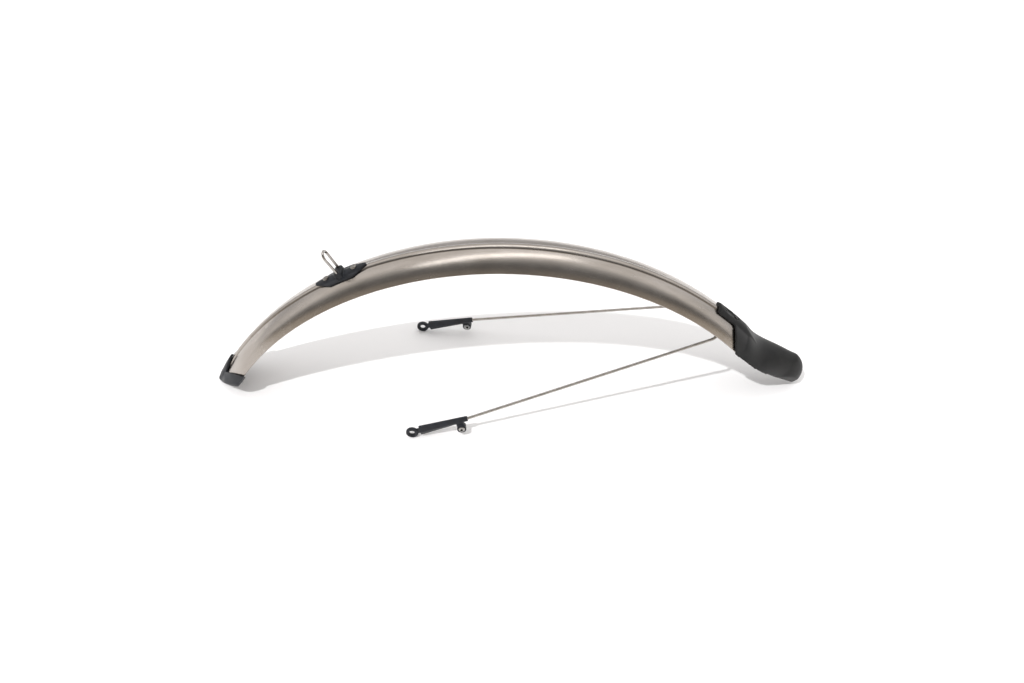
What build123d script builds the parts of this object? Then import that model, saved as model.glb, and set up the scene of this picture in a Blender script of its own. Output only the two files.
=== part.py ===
from build123d import *
import os
from math import acos, asin, atan2, cos, degrees, hypot, radians, sin, tan

# Front mudguard of a 28 inch city bicycle, lying as it does off the bicycle with its stay folded up.
# Millimetres, +Z up, floor at z = 0. +X runs to the mudflap and -Y is the bicycle's left side.
# The pieces are drawn about the wheel's axle and then moved so that the guard stands on the floor.

# Blade: one sheet of constant section bent round the wheel
EDGE_RADIUS = 345.0
BLADE_HALF_WIDTH = 28.5
SECTION_RADIUS = 36.5
BLADE_WALL = 1.8
RIDGE_RADIUS = 6.1
RIDGE_HEIGHT = 1.8
BLADE_REAR_ANGLE = 47.8
FLOOR_ANGLE = 62.54
FIT = 0.15

# Front cap: a plastic shoe over the blade's raked end
CAP_WALL = 2.4
CAP_RIDGE_WALL = 3.0
CAP_LIP = 1.5
CAP_END_WALL = 2.6
CAP_SPREAD = 2.6
CAP_TIP_RADIUS = 5.6
CAP_BAND = 17.0
CAP_BAND_SLOPE = 1.15
CAP_TONGUE_ANGLE = -56.2
CAP_TONGUE_LENGTH = 42.0
CAP_TONGUE_HALF_WIDTH = 8.2
# Distance up from the point of the end and half width of its outline
CAP_END_OUTLINE = ((-3.15, 0.0), (26.3, 27.7), (34.0, 32.5), (46.0, 60.0))

# Mudflap: a rubber sleeve with a tongue on the ridge and a spoon that ends in a round toe
FLAP_WALL = 2.6
FLAP_SPREAD = 3.0
FLAP_FRONT_ANGLE = 46.68
FLAP_TOE_ANGLE = 64.4
TONGUE_ANGLE = 40.0
TONGUE_END_ANGLE = 51.5
TONGUE_HALF_WIDTH = 8.5
TONGUE_WALL = 4.0
POCKET_LENGTH = 24.5
POCKET_WIDTH = 6.8
POCKET_FLOOR = 1.5
# Place between the sleeve and the toe, half width, crown height and half angle of each arched section
SPOON_SECTIONS = (
    (0.19, 31.6, 15.4, 57.0),
    (0.38, 30.4, 15.0, 62.0),
    (0.61, 26.0, 20.8, 73.0),
    (0.82, 20.4, 26.6, 83.0),
)
TOE_HALF_WIDTH = 16.0
TOE_RADIUS = 31.0
# Distance from the toe's tip, half width and height of three points on each flat flank of the toe
FLANK_POINTS = ((-59.2, 26.6, 0.0), (0.1, 0.8, 0.0), (-16.2, 14.0, 18.0))

# Stay: a U of round wire that turns in a bridge under the crown
WIRE_RADIUS = 1.6
PIVOT_ANGLE = 42.9
PIVOT_HEADROOM = 0.8
CROSS_HALF = 9.0
SHOULDER_DEPTH = 15.0
SHOULDER_HALF = 27.5
MOUTH_DEPTH = 287.0
MOUTH_HALF = 77.4
CLIP_SPLAY = 5.24
WIRE_IN_CLIP = 40.0
WIRE_BENDS = (30.0, 8.0, 5.0, 5.0, 8.0, 30.0)

# Stay bridge and the rivets that hold it and the flap's tongue
BRIDGE_HALF_WIDTH = 6.0
BRIDGE_HALF_LENGTH = 14.0
BRIDGE_WALL = 1.6
PIVOT_PLAY = 0.08
RIVET_OFFSET = 9.0
RIVET_RADIUS = 1.6
RIVET_PLAY = 0.1

# Clips: clamped on the wire, each with a push-in release eyelet for an M5 bolt
CLIP_LENGTH = 54.0
CLIP_MOUTH_HEIGHT = 6.0
CLIP_END_HEIGHT = 10.6
CLIP_WIDTH_SHARE = 0.7
CLIP_FLAT_SHARE = 0.19
CLAMP_AT = 9.6
CLAMP_DROP = 9.2
CLAMP_RADIUS = 5.0
CLAMP_INNER = -1.6
CLAMP_OUTER = 5.6
SCREW_RADIUS = 1.9
SCREW_HEAD_RADIUS = 3.6
SCREW_HEAD_HEIGHT = 2.3
SCREW_HEAD_RECESS = 1.6
SOCKET_FLATS = 2.8
NUT_FLATS = 7.0
NUT_HEIGHT = 2.8
NUT_RECESS = 2.2
EYELET_REACH = 62.75
EYELET_RADIUS = 6.8
EYELET_BORE_RADIUS = 2.9
EYELET_WIDTH = 4.4
EYELET_EDGE = 1.5
NECK_WIDTH = 3.2
NECK_HEIGHT = 4.8
PLUG_LENGTH = 8.0

# Fork bracket: a wire loop in a plastic base riveted on the ridge
BRACKET_ANGLE = -27.4
BASE_HALF_LENGTH = 31.0
BASE_HALF_WIDTH = 10.0
BASE_WALL = 2.2
BOSS_HEIGHT = 7.8
BOSS_LENGTH = 9.5
BOSS_WIDTH = 15.5
LOOP_WIRE_RADIUS = 1.5
LOOP_HEIGHT = 33.8
LOOP_ARC_RADIUS = 5.8
LOOP_FOOT_HALF = 4.8
LOOP_FOOT_HEIGHT = 2.7
BRACKET_RIVET_OFFSET = 17.0

EDGE_ANGLE = degrees(asin(BLADE_HALF_WIDTH / SECTION_RADIUS))
ARCH_CENTRE = EDGE_RADIUS - SECTION_RADIUS * cos(radians(EDGE_ANGLE))
CROWN = ARCH_CENTRE + SECTION_RADIUS
RIDGE_TOP = CROWN + RIDGE_HEIGHT
RIDGE_CENTRE = RIDGE_TOP - RIDGE_RADIUS
AXLE_DROP = EDGE_RADIUS * cos(radians(FLOOR_ANGLE))
PRISM = 60.0


def at_angle(angle, radius, across=0.0):
    """Point at an angle from straight above the axle, positive towards the mudflap."""
    return Vector(radius * sin(radians(angle)), across, radius * cos(radians(angle)))


def cross_plane(angle, origin=(0, 0, 0)):
    """Plane across the guard: local X is across it and local Y points outward at the angle."""
    along = (cos(radians(angle)), 0, -sin(radians(angle)))
    return Plane(origin=origin, x_dir=(0, 1, 0), z_dir=along)


def crown_plane(angle, radius):
    """Plane on the crown: local X runs to the rear, local Y is across, local Z is outward."""
    along = (cos(radians(angle)), 0, -sin(radians(angle)))
    outward = (sin(radians(angle)), 0, cos(radians(angle)))
    return Plane(origin=at_angle(angle, radius), x_dir=along, z_dir=outward)


def arch_area(arch_offset, ridge_offset):
    """Area inside the blade's outer section, grown by one offset on the arch and one on the ridge."""
    arch = Pos(0, ARCH_CENTRE) * Circle(SECTION_RADIUS + arch_offset)
    ridge = Pos(0, RIDGE_CENTRE) * Circle(RIDGE_RADIUS + ridge_offset)
    return arch + ridge


def fan(half_angle):
    """Area above two lines that spread from the arch's centre."""
    reach = 2 * SECTION_RADIUS
    side = reach * sin(radians(half_angle))
    low = ARCH_CENTRE + reach * cos(radians(half_angle))
    high = ARCH_CENTRE + reach
    outline = Polyline((0, ARCH_CENTRE), (side, low), (side, high), (-side, high), (-side, low), close=True)
    return make_face(outline)


def strip(half_width):
    """Area over the crown between two lines along the blade."""
    return Pos(0, CROWN) * Rectangle(2 * half_width, 40)


def carried(section, start, end):
    """Solid of a section carried round the axle between two angles."""
    return revolve(cross_plane(start) * section, Axis.Y, end - start)


def side_prism(face):
    """Prism right across the guard over an area seen from the side."""
    return extrude(Plane.XZ * face, amount=PRISM, both=True)


def seen_from_side(point):
    """Point in the side view, X to the rear and Y up."""
    return (point.X, point.Z)


def radial_peg(angle, inner, outer, radius):
    """Round peg along the radius at an angle on the crown."""
    return extrude(crown_plane(angle, inner) * Rot(0, 0, 37) * Circle(radius), amount=outer - inner)


def radial_hole(angle):
    """Twelve-sided prism along the radius, to clear a rivet's shank."""
    outline = RegularPolygon(RIVET_RADIUS + RIVET_PLAY, 12, major_radius=False)
    return extrude(crown_plane(angle, CROWN) * Rot(0, 0, 7) * outline, amount=18, both=True)


def domed_head(angle, base, radius, height):
    """Rivet head with a rounded top, standing outward on the crown."""
    head = radial_peg(angle, base, base + height, radius)
    top = head.faces().filter_by(GeomType.PLANE).sort_by_distance(at_angle(angle, base + 2 * height))[0]
    return fillet(top.edges(), 0.85 * height)


def rivet(angle, head_base, head_radius, tail_base, tail_radius):
    """Rivet with a rounded outer head and a flat inner one."""
    head = domed_head(angle, head_base, head_radius, 1.4)
    shank = radial_peg(angle, tail_base - 0.5, head_base + 0.2, RIVET_RADIUS)
    tail = radial_peg(angle, tail_base - 1.1, tail_base, tail_radius)
    return head + shank + tail


def arc_degrees(length, radius):
    """Angle at the axle of a length round the blade."""
    return degrees(length / radius)


# Blade
blade_section = (arch_area(0, 0) - arch_area(-BLADE_WALL, -BLADE_WALL)) & fan(EDGE_ANGLE)
rim_corners = blade_section.vertices().sort_by(Axis.Y)[:4]
blade_section = chamfer(rim_corners, 0.25 * BLADE_WALL)

foot_radius = CROWN - BLADE_WALL - CAP_LIP
foot_angle = -degrees(acos(AXLE_DROP / foot_radius))
end_plane = crown_plane(foot_angle, foot_radius)


def end_area(outline):
    """Area behind a pointed end, from one side of its outline."""
    other_side = [(along, -across) for along, across in reversed(outline[1:])]
    area = make_face(Polyline(*outline, (200, 60), (200, -60), *other_side, close=True))
    return fillet(area.vertices().sort_by(Axis.X)[0], CAP_TIP_RADIUS)


def end_room(area):
    """Prism along the radius over an area of the end."""
    return extrude(end_plane * area, amount=PRISM, both=True)


end_point, end_corner = CAP_END_OUTLINE[:2]
end_slope = (end_corner[0] - end_point[0]) / end_corner[1]
blade_end = end_area((end_point, (end_point[0] + 60 * end_slope, 60)))
front_end = carried(blade_section, -66, -50) & end_room(offset(blade_end, -CAP_END_WALL))

# Front cap
shell_area = arch_area(CAP_WALL, CAP_WALL) - arch_area(-BLADE_WALL - CAP_LIP, -BLADE_WALL - CAP_LIP)
shell = carried(shell_area & fan(EDGE_ANGLE + CAP_SPREAD), -68, -50)
band_plan = make_face(
    Polyline(
        (end_point[0] + CAP_BAND, 0),
        (end_point[0] + CAP_BAND + CAP_BAND_SLOPE * 60, 60),
        (-40, 60),
        (-40, -60),
        (end_point[0] + CAP_BAND + CAP_BAND_SLOPE * 60, -60),
        close=True,
    )
)
band = shell & end_room(band_plan)
tongue_area = (arch_area(CAP_WALL, CAP_RIDGE_WALL) - arch_area(0, 0)) & strip(CAP_TONGUE_HALF_WIDTH)
tongue_plan = make_face(
    Polyline(
        (0, 0),
        (-0.62 * CAP_TONGUE_LENGTH, CAP_TONGUE_HALF_WIDTH),
        (-1.5 * CAP_TONGUE_LENGTH, CAP_TONGUE_HALF_WIDTH),
        (-1.5 * CAP_TONGUE_LENGTH, -CAP_TONGUE_HALF_WIDTH),
        (-0.62 * CAP_TONGUE_LENGTH, -CAP_TONGUE_HALF_WIDTH),
        close=True,
    )
)
tongue_room = extrude(crown_plane(CAP_TONGUE_ANGLE, RIDGE_TOP) * tongue_plan, amount=30, both=True)
cap_tongue = carried(tongue_area, -68, -50) & tongue_room
slot_area = arch_area(FIT, FIT) - arch_area(-BLADE_WALL - FIT, -BLADE_WALL - FIT)
slot = carried(slot_area & fan(EDGE_ANGLE + 0.4), -68, -48) & end_room(offset(blade_end, FIT - CAP_END_WALL))
front_cap = ((band + cap_tongue) & end_room(end_area(CAP_END_OUTLINE))) - slot

# Mudflap
sleeve_area = (arch_area(FLAP_WALL, FLAP_WALL) - arch_area(FIT, FIT)) & fan(EDGE_ANGLE + FLAP_SPREAD)
sleeve_front = EDGE_RADIUS * sin(radians(FLAP_FRONT_ANGLE))
sleeve_room = Pos(sleeve_front + PRISM, 0, CROWN / 2) * Box(2 * PRISM, 2 * PRISM, 2 * CROWN)
rib_area = (arch_area(FLAP_WALL, TONGUE_WALL) - arch_area(FIT, FIT)) & strip(TONGUE_HALF_WIDTH)
rib_room = Pos(sleeve_front, 0, CROWN / 2) * Box(2 * PRISM, 2 * TONGUE_HALF_WIDTH, 2 * CROWN)
sleeve_end = BLADE_REAR_ANGLE + 0.2
sleeve = carried(sleeve_area + rib_area, TONGUE_ANGLE, sleeve_end) & (sleeve_room + rib_room)
rib_tail = carried(rib_area, sleeve_end, TONGUE_END_ANGLE)
fade_area = make_face(
    Polyline(
        seen_from_side(at_angle(TONGUE_END_ANGLE - 5.0, RIDGE_TOP + TONGUE_WALL + 0.3)),
        seen_from_side(at_angle(TONGUE_END_ANGLE + 0.5, RIDGE_TOP)),
        seen_from_side(at_angle(TONGUE_END_ANGLE + 0.5, RIDGE_TOP + 20)),
        seen_from_side(at_angle(TONGUE_END_ANGLE - 5.0, RIDGE_TOP + 20)),
        close=True,
    )
)
sleeve -= side_prism(fade_area)
rib_tail -= side_prism(fade_area)

spoon_radius = SECTION_RADIUS + FLAP_WALL
spoon_angle = EDGE_ANGLE + FLAP_SPREAD
rim_radius = ARCH_CENTRE + spoon_radius * cos(radians(spoon_angle))
rim_start = at_angle(sleeve_end, rim_radius)
toe = Vector(AXLE_DROP * tan(radians(FLAP_TOE_ANGLE)), 0, AXLE_DROP)
rim = toe - rim_start
spoon_run = rim.length - TOE_RADIUS
rim_tilt = degrees(atan2(-rim.Z, rim.X))


def arched_section(plane, half_width, height, half_angle, wall=0.0, skirt=0.0):
    """Area under an elliptic arch, drawn inside it by a wall and below it by a skirt."""
    side = half_width - wall
    rise = height - wall
    radius_across = side / sin(radians(half_angle))
    radius_up = rise / (1 - cos(radians(half_angle)))
    centre = (0, rise - radius_up)
    arch = EllipticalCenterArc(centre, radius_across, radius_up, 90 - half_angle, arc_size=2 * half_angle)
    if skirt == 0:
        base = Polyline((-side, 0), (side, 0))
    else:
        base = Polyline((-side, 0), (-side, -skirt), (side, -skirt), (side, 0))
    return plane * make_face(arch.edges() + base.edges())


def toe_flanks(wall):
    """Blocks outside the two flat flanks that narrow the toe to its rim, drawn inside by a wall."""
    points = []
    for distance, half_width, height in FLANK_POINTS:
        rim_plane = cross_plane(rim_tilt, toe + rim.normalized() * distance)
        points.append(rim_plane.from_local_coords(Vector(half_width, height, 0)))
    outward = (points[2] - points[0]).cross(points[1] - points[0])
    flank = Plane(origin=points[0], x_dir=points[1] - points[0], z_dir=outward)
    block = flank.offset(-wall) * Pos(0, 0, 50) * Box(400, 400, 100)
    return [block, mirror(block, Plane.XZ)]


def spoon(wall, skirt, toe_turn):
    """Spoon from the sleeve's end to its round toe, solid under the arch."""
    start_plane = cross_plane(sleeve_end, rim_start)
    start_width = spoon_radius * sin(radians(spoon_angle))
    start_height = spoon_radius * (1 - cos(radians(spoon_angle)))
    sections = [arched_section(start_plane, start_width, start_height, spoon_angle, wall, skirt)]
    for place, half_width, height, half_angle in SPOON_SECTIONS:
        plane = cross_plane(rim_tilt, rim_start + rim.normalized() * (place * spoon_run))
        sections.append(arched_section(plane, half_width, height, half_angle, wall, skirt))
    toe_centre = toe - rim.normalized() * TOE_RADIUS
    toe_plane = cross_plane(rim_tilt, toe_centre)
    sections.append(arched_section(toe_plane, TOE_HALF_WIDTH, TOE_RADIUS, 90.0, wall, skirt))
    toe_section = arched_section(toe_plane, TOE_HALF_WIDTH, TOE_RADIUS, 90.0, wall)
    round_toe = revolve(toe_section, Axis(toe_centre, (0, 1, 0)), toe_turn)
    return loft(sections) + round_toe - toe_flanks(wall)


pocket_shape = SlotOverall(POCKET_LENGTH, POCKET_WIDTH)
pocket = extrude(crown_plane(PIVOT_ANGLE, RIDGE_TOP + POCKET_FLOOR) * pocket_shape, amount=10)
rivet_turn = arc_degrees(RIVET_OFFSET, RIDGE_TOP)
flap_rivet_angles = (PIVOT_ANGLE - rivet_turn, PIVOT_ANGLE + rivet_turn)
flap_holes = [radial_hole(angle) for angle in flap_rivet_angles]
collar = sleeve - [pocket, *flap_holes]
mud_flap = collar + (spoon(0, 0, 90) + rib_tail) - spoon(FLAP_WALL - FIT, 3.0, 96)

# Stay bridge
bridge_outer = ARCH_CENTRE + ((SECTION_RADIUS - BLADE_WALL) ** 2 - BRIDGE_HALF_WIDTH**2) ** 0.5 - FIT
pivot = at_angle(PIVOT_ANGLE, bridge_outer - PIVOT_HEADROOM - WIRE_RADIUS)
bridge_turn = arc_degrees(BRIDGE_HALF_LENGTH, bridge_outer)
bridge_sides = Polyline(
    (0, 0),
    seen_from_side(at_angle(PIVOT_ANGLE - bridge_turn, 2 * CROWN)),
    seen_from_side(at_angle(PIVOT_ANGLE + bridge_turn, 2 * CROWN)),
    close=True,
)
bridge_disc = Circle(bridge_outer)
bridge_ring = (bridge_disc - Circle(bridge_outer - BRIDGE_WALL)) & make_face(bridge_sides)
channel_radius = WIRE_RADIUS + PIVOT_PLAY
channel_spot = Pos(*seen_from_side(pivot))
channel_mouth = channel_spot * Rot(0, 0, -PIVOT_ANGLE) * Pos(0, 5) * Rectangle(2 * channel_radius, 10)
bridge_area = bridge_ring + channel_spot * Circle(channel_radius + BRIDGE_WALL)
bridge_area = (bridge_area - channel_spot * Circle(channel_radius) - channel_mouth) & bridge_disc
stay_bridge = extrude(Plane.XZ * bridge_area, amount=BRIDGE_HALF_WIDTH, both=True)

# Rivets through the flap's tongue, the ridge and the bridge
bridge_face = bridge_outer - BRIDGE_WALL
flap_head_base = RIDGE_TOP + POCKET_FLOOR + 0.25
flap_rivets = [rivet(angle, flap_head_base, 2.7, bridge_face - 0.02, 2.5) for angle in flap_rivet_angles]
stay_bridge -= flap_holes

# Stay wire, folded until the eyelets lie on the floor
eyelet_depth = MOUTH_DEPTH + EYELET_REACH * cos(radians(CLIP_SPLAY))
fold = asin((pivot.Z - AXLE_DROP - EYELET_RADIUS) / eyelet_depth)
leg_way = Vector(-cos(fold), 0, -sin(fold))
leg_up = Vector(-sin(fold), 0, cos(fold))


def on_stay(depth, across):
    """Point in the plane of the folded stay."""
    return pivot + leg_way * depth + Vector(0, across, 0)


end_depth = MOUTH_DEPTH + WIRE_IN_CLIP * cos(radians(CLIP_SPLAY))
end_half = MOUTH_HALF + WIRE_IN_CLIP * sin(radians(CLIP_SPLAY))
wire_corners = [
    on_stay(end_depth, -end_half),
    on_stay(MOUTH_DEPTH, -MOUTH_HALF),
    on_stay(SHOULDER_DEPTH, -SHOULDER_HALF),
    on_stay(0, -CROSS_HALF),
    on_stay(0, CROSS_HALF),
    on_stay(SHOULDER_DEPTH, SHOULDER_HALF),
    on_stay(MOUTH_DEPTH, MOUTH_HALF),
    on_stay(end_depth, end_half),
]
wire_path = FilletPolyline(*wire_corners, radius=WIRE_BENDS)
wire_start = Plane(origin=wire_path @ 0, z_dir=wire_path % 0)
stay_wire = sweep(wire_start * Circle(WIRE_RADIUS), path=wire_path)

# Left clip, drawn from its mouth along its length with local Y to the outside
clip_way = leg_way * cos(radians(CLIP_SPLAY)) - Vector(0, sin(radians(CLIP_SPLAY)), 0)
clip_plane = Plane(origin=on_stay(MOUTH_DEPTH, -MOUTH_HALF), x_dir=clip_way, z_dir=leg_up)


def clip_section(along, height):
    """Six-sided section of the clip, with a crease along the middle of each side."""
    half = height / 2
    side = height * CLIP_WIDTH_SHARE / 2 + 0.4 * (CLIP_END_HEIGHT - height) / 2
    flat = height * CLIP_FLAT_SHARE + 0.1
    outline = Polyline(
        (flat, half),
        (side, 0),
        (flat, -half),
        (-flat, -half),
        (-side, 0),
        (-flat, half),
        close=True,
    )
    return Plane.YZ.offset(along) * make_face(outline)


def across_peg(along, height, start, end, radius):
    """Round peg across the clip between two distances from its middle, positive to the outside."""
    spot = Plane(origin=(along, start, height), x_dir=(1, 0, 0), z_dir=(0, 1, 0))
    return extrude(spot * Circle(radius), amount=end - start)


def across_hex(along, height, start, end, flats):
    """Six-sided peg across the clip between two distances from its middle."""
    spot = Plane(origin=(along, start, height), x_dir=(1, 0, 0), z_dir=(0, 1, 0))
    hexagon = RegularPolygon(flats / 2, 6, major_radius=False)
    return extrude(spot * hexagon, amount=end - start)


clip_body = loft([clip_section(0, CLIP_MOUTH_HEIGHT), clip_section(CLIP_LENGTH, CLIP_END_HEIGHT)])
clamp = across_peg(CLAMP_AT, -CLAMP_DROP, CLAMP_INNER, CLAMP_OUTER, CLAMP_RADIUS)
web = Pos(CLAMP_AT, 0.8, -CLAMP_DROP / 2) * Box(1.6 * CLAMP_RADIUS, 4.4, CLAMP_DROP)
wire_bore = extrude(Plane.YZ.offset(-1) * Circle(WIRE_RADIUS + 0.06), amount=WIRE_IN_CLIP + 2)
screw_hole = across_peg(CLAMP_AT, -CLAMP_DROP, CLAMP_INNER - 5, CLAMP_OUTER + 5, SCREW_RADIUS + 0.2)
head_seat = CLAMP_OUTER - SCREW_HEAD_RECESS
head_pocket = across_peg(CLAMP_AT, -CLAMP_DROP, head_seat, CLAMP_OUTER + 5, SCREW_HEAD_RADIUS + 0.15)
nut_seat = CLAMP_INNER + NUT_RECESS
nut_pocket = across_hex(CLAMP_AT, -CLAMP_DROP, CLAMP_INNER - 5, nut_seat, NUT_FLATS + 0.3)
socket = Pos(CLIP_LENGTH - PLUG_LENGTH / 2, 0, 0) * Box(PLUG_LENGTH + 0.4, 3.2, 4.8)
clip = clip_body + clamp + web - wire_bore - screw_hole - head_pocket - nut_pocket - socket

# Clamp screw with a rounded head and a hexagon socket, and its nut
screw_head = across_peg(CLAMP_AT, -CLAMP_DROP, head_seat, head_seat + SCREW_HEAD_HEIGHT, SCREW_HEAD_RADIUS)
screw_head = fillet(screw_head.faces().sort_by(Axis.Y)[-1].edges(), 0.6 * SCREW_HEAD_HEIGHT)
socket_start = head_seat + SCREW_HEAD_HEIGHT - 1.3
screw_socket = across_hex(CLAMP_AT, -CLAMP_DROP, socket_start, head_seat + 5, SOCKET_FLATS)
screw_tip = nut_seat - NUT_HEIGHT - 0.4
screw_shank = across_peg(CLAMP_AT, -CLAMP_DROP, screw_tip, head_seat + 0.5, SCREW_RADIUS)
screw = screw_head + screw_shank - screw_socket
nut = across_hex(CLAMP_AT, -CLAMP_DROP, nut_seat - NUT_HEIGHT, nut_seat, NUT_FLATS)
nut -= across_peg(CLAMP_AT, -CLAMP_DROP, nut_seat - NUT_HEIGHT - 5, nut_seat + 5, SCREW_RADIUS + 0.06)

# Release eyelet: its ring stands square to the wheel and its plug follows the clip
plug = Pos(CLIP_LENGTH - PLUG_LENGTH / 2 + 0.2, 0, 0) * Box(PLUG_LENGTH, 3.0, 4.6)
neck_start = CLIP_LENGTH + 0.2
neck_end = EYELET_REACH - EYELET_RADIUS + 1.8
neck = Pos((neck_start + neck_end) / 2, 0, 0) * Box(neck_end - neck_start, NECK_WIDTH, NECK_HEIGHT)
eyelet_half = MOUTH_HALF + EYELET_REACH * sin(radians(CLIP_SPLAY))
eyelet_centre = on_stay(eyelet_depth, -eyelet_half)
ring_plane = Plane(origin=eyelet_centre, x_dir=(1, 0, 0), z_dir=(0, -1, 0))
ring = extrude(ring_plane * Circle(EYELET_RADIUS), amount=EYELET_WIDTH / 2, both=True)
ring = fillet(ring.edges().filter_by(GeomType.CIRCLE), EYELET_EDGE)
bolt_bore = extrude(ring_plane * Circle(EYELET_BORE_RADIUS), amount=EYELET_WIDTH, both=True)
ring_face = EYELET_WIDTH / 2
for face_way in (-1, 1):
    mouth_plane = ring_plane.offset(face_way * (ring_face - EYELET_EDGE))
    mouth_end = ring_plane.offset(face_way * (ring_face + 0.2))
    mouth_start_circle = mouth_plane * Circle(EYELET_BORE_RADIUS)
    mouth_end_circle = mouth_end * Circle(EYELET_BORE_RADIUS + EYELET_EDGE + 0.2)
    bolt_bore += loft([mouth_start_circle, mouth_end_circle])
eyelet = clip_plane.from_local_coords(plug + neck) + ring - bolt_bore

# Fork bracket
base_area = (arch_area(BASE_WALL, BASE_WALL) - arch_area(FIT, FIT)) & strip(BASE_HALF_WIDTH)
base_turn = arc_degrees(BASE_HALF_LENGTH, RIDGE_TOP) + 1
base_plate = carried(base_area, BRACKET_ANGLE - base_turn, BRACKET_ANGLE + base_turn)
base_plan = make_face(
    Polyline(
        (BASE_HALF_LENGTH, 1.5),
        (0.45 * BASE_HALF_LENGTH, BASE_HALF_WIDTH),
        (-0.45 * BASE_HALF_LENGTH, BASE_HALF_WIDTH),
        (-BASE_HALF_LENGTH, 1.5),
        (-BASE_HALF_LENGTH, -1.5),
        (-0.45 * BASE_HALF_LENGTH, -BASE_HALF_WIDTH),
        (0.45 * BASE_HALF_LENGTH, -BASE_HALF_WIDTH),
        (BASE_HALF_LENGTH, -1.5),
        close=True,
    )
)
base_plate &= extrude(crown_plane(BRACKET_ANGLE, RIDGE_TOP) * base_plan, amount=20, both=True)
boss_plan = RectangleRounded(BOSS_LENGTH, BOSS_WIDTH, 3.0)
boss = extrude(crown_plane(BRACKET_ANGLE, CROWN) * boss_plan, amount=BOSS_HEIGHT)
boss_top = boss.faces().sort_by_distance(at_angle(BRACKET_ANGLE, 2 * CROWN))[0]
boss = fillet(boss_top.edges(), 1.5)
boss -= carried(arch_area(FIT, FIT), BRACKET_ANGLE - base_turn, BRACKET_ANGLE + base_turn)

loop_top = CROWN + LOOP_HEIGHT
loop_foot = CROWN + LOOP_FOOT_HEIGHT
loop_centre = loop_top - LOOP_ARC_RADIUS
foot_drop = loop_centre - loop_foot
foot_reach = hypot(LOOP_FOOT_HALF, foot_drop)
touch = radians(-90) + atan2(LOOP_FOOT_HALF, foot_drop) + acos(LOOP_ARC_RADIUS / foot_reach)
touch_side = LOOP_ARC_RADIUS * cos(touch)
touch_up = loop_centre + LOOP_ARC_RADIUS * sin(touch)
loop_right = Line((LOOP_FOOT_HALF, loop_foot), (touch_side, touch_up))
loop_arc = ThreePointArc((touch_side, touch_up), (0, loop_top), (-touch_side, touch_up))
loop_left = Line((-touch_side, touch_up), (-LOOP_FOOT_HALF, loop_foot))
loop_path = cross_plane(BRACKET_ANGLE) * (loop_right + loop_arc + loop_left)
loop_start = Plane(origin=loop_path @ 0, z_dir=loop_path % 0)
bracket_loop = sweep(loop_start * Circle(LOOP_WIRE_RADIUS), path=loop_path)

bracket_turn = arc_degrees(BRACKET_RIVET_OFFSET, RIDGE_TOP)
bracket_rivet_angles = (BRACKET_ANGLE - bracket_turn, BRACKET_ANGLE + bracket_turn)
bracket_holes = [radial_hole(angle) for angle in bracket_rivet_angles]
head_seat_radius = RIDGE_TOP + BASE_WALL + 0.1
bracket_rivets = [rivet(angle, head_seat_radius, 3.4, CROWN - 1.05, 2.6) for angle in bracket_rivet_angles]
leg_holes = []
for place, direction in ((loop_path @ 0, loop_path % 0), (loop_path @ 1, -(loop_path % 1))):
    leg_plane = Plane(origin=place - direction * 0.2, z_dir=direction)
    leg_holes.append(extrude(leg_plane * Circle(LOOP_WIRE_RADIUS + 0.05), amount=14))
bracket_base = base_plate + boss - [*bracket_holes, *leg_holes]

# Blade, in lengths that each hold one pair of rivet holes
bracket_start = BRACKET_ANGLE - 8
bracket_end = BRACKET_ANGLE + 8
blade_lengths = [
    carried(blade_section, -50, bracket_start),
    carried(blade_section, bracket_start, BRACKET_ANGLE) - bracket_holes[0],
    carried(blade_section, BRACKET_ANGLE, bracket_end) - bracket_holes[1],
    carried(blade_section, bracket_end, PIVOT_ANGLE - 4),
    carried(blade_section, PIVOT_ANGLE - 4, PIVOT_ANGLE) - flap_holes[0],
    carried(blade_section, PIVOT_ANGLE, BLADE_REAR_ANGLE) - flap_holes[1],
]
blade = front_end.fuse(*blade_lengths)

left_clip = clip_plane.from_local_coords(clip)
left_screw = clip_plane.from_local_coords(screw)
left_nut = clip_plane.from_local_coords(nut)
pieces = {
    "blade": blade,
    "front_cap": front_cap,
    "mud_flap": mud_flap,
    "flap_rivets": Compound(flap_rivets),
    "stay_bridge": stay_bridge,
    "bracket_base": bracket_base,
    "bracket_loop": bracket_loop,
    "bracket_rivets": Compound(bracket_rivets),
    "stay_wire": stay_wire,
    "stay_clip_left": left_clip,
    "stay_clip_right": mirror(left_clip, Plane.XZ),
    "eyelet_left": eyelet,
    "eyelet_right": mirror(eyelet, Plane.XZ),
    "clamp_screw_left": left_screw,
    "clamp_screw_right": mirror(left_screw, Plane.XZ),
    "clamp_nut_left": left_nut,
    "clamp_nut_right": mirror(left_nut, Plane.XZ),
}

rear = mud_flap.bounding_box().max.X
front = front_cap.bounding_box().min.X
to_floor = Pos(-(front + rear) / 2, 0, -AXLE_DROP)
os.makedirs("parts", exist_ok=True)
for name, piece in pieces.items():
    export_step(to_floor * piece, f"parts/{name}.step")
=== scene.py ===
"""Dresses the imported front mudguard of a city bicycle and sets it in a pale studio."""

from __future__ import annotations

import logging
import math
from abc import ABC, abstractmethod
from dataclasses import dataclass, field
from enum import Enum
from typing import Any, Callable

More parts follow.
